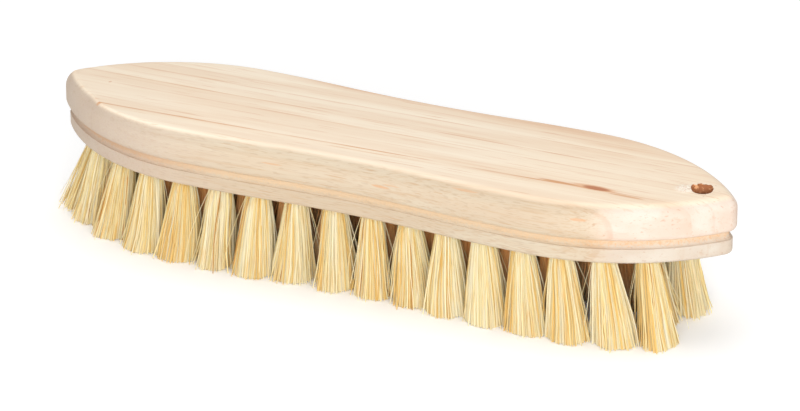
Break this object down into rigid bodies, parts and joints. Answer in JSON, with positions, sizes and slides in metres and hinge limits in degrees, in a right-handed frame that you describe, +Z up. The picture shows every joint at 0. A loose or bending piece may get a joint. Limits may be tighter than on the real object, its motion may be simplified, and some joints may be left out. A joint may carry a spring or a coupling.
{
  "type": "scrub brush",
  "caption": "Pointed wooden scrub brush with a finger groove round its edge, a hanging hole and tufts of stiff plant fibre.",
  "frame": {"origin": "under the middle of the block, on the plane of the bristle tips", "axes": "+X along the brush towards the end with the hanging hole, +Z up out of the bare top face, +Y to the left of +X"},
  "size_m": [0.2205, 0.0574, 0.0438],
  "materials": {
    "pine": "sanded bare wood, matt",
    "plant_fibre": "stiff dry plant fibre, slightly waxy",
    "staple_wire": "bright flat wire"
  },
  "bodies": {
    "root": {"wooden_block": "pine", "anchor_staples": "staple_wire", "outer_tuft_01": "plant_fibre", "outer_tuft_02": "plant_fibre", "outer_tuft_03": "plant_fibre", "outer_tuft_04": "plant_fibre", "outer_tuft_05": "plant_fibre", "outer_tuft_06": "plant_fibre", "outer_tuft_07": "plant_fibre", "outer_tuft_08": "plant_fibre", "outer_tuft_09": "plant_fibre", "outer_tuft_10": "plant_fibre", "outer_tuft_11": "plant_fibre", "outer_tuft_12": "plant_fibre", "outer_tuft_13": "plant_fibre", "outer_tuft_14": "plant_fibre", "outer_tuft_15": "plant_fibre", "outer_tuft_16": "plant_fibre", "outer_tuft_17": "plant_fibre", "outer_tuft_18": "plant_fibre", "outer_tuft_19": "plant_fibre", "outer_tuft_20": "plant_fibre", "outer_tuft_21": "plant_fibre", "outer_tuft_22": "plant_fibre", "outer_tuft_23": "plant_fibre", "outer_tuft_24": "plant_fibre", "outer_tuft_25": "plant_fibre", "outer_tuft_26": "plant_fibre", "outer_tuft_27": "plant_fibre", "outer_tuft_28": "plant_fibre", "outer_tuft_29": "plant_fibre", "outer_tuft_30": "plant_fibre", "outer_tuft_31": "plant_fibre", "outer_tuft_32": "plant_fibre", "outer_tuft_33": "plant_fibre", "inner_tuft_01": "plant_fibre", "inner_tuft_02": "plant_fibre", "inner_tuft_03": "plant_fibre", "inner_tuft_04": "plant_fibre", "inner_tuft_05": "plant_fibre", "inner_tuft_06": "plant_fibre", "inner_tuft_07": "plant_fibre", "inner_tuft_08": "plant_fibre", "inner_tuft_09": "plant_fibre", "inner_tuft_10": "plant_fibre", "inner_tuft_11": "plant_fibre", "inner_tuft_12": "plant_fibre", "inner_tuft_13": "plant_fibre", "inner_tuft_14": "plant_fibre", "inner_tuft_15": "plant_fibre", "inner_tuft_16": "plant_fibre", "inner_tuft_17": "plant_fibre", "inner_tuft_18": "plant_fibre", "inner_tuft_19": "plant_fibre", "inner_tuft_20": "plant_fibre", "inner_tuft_21": "plant_fibre", "inner_tuft_22": "plant_fibre", "inner_tuft_23": "plant_fibre", "inner_tuft_24": "plant_fibre"}
  },
  "joints": []
}
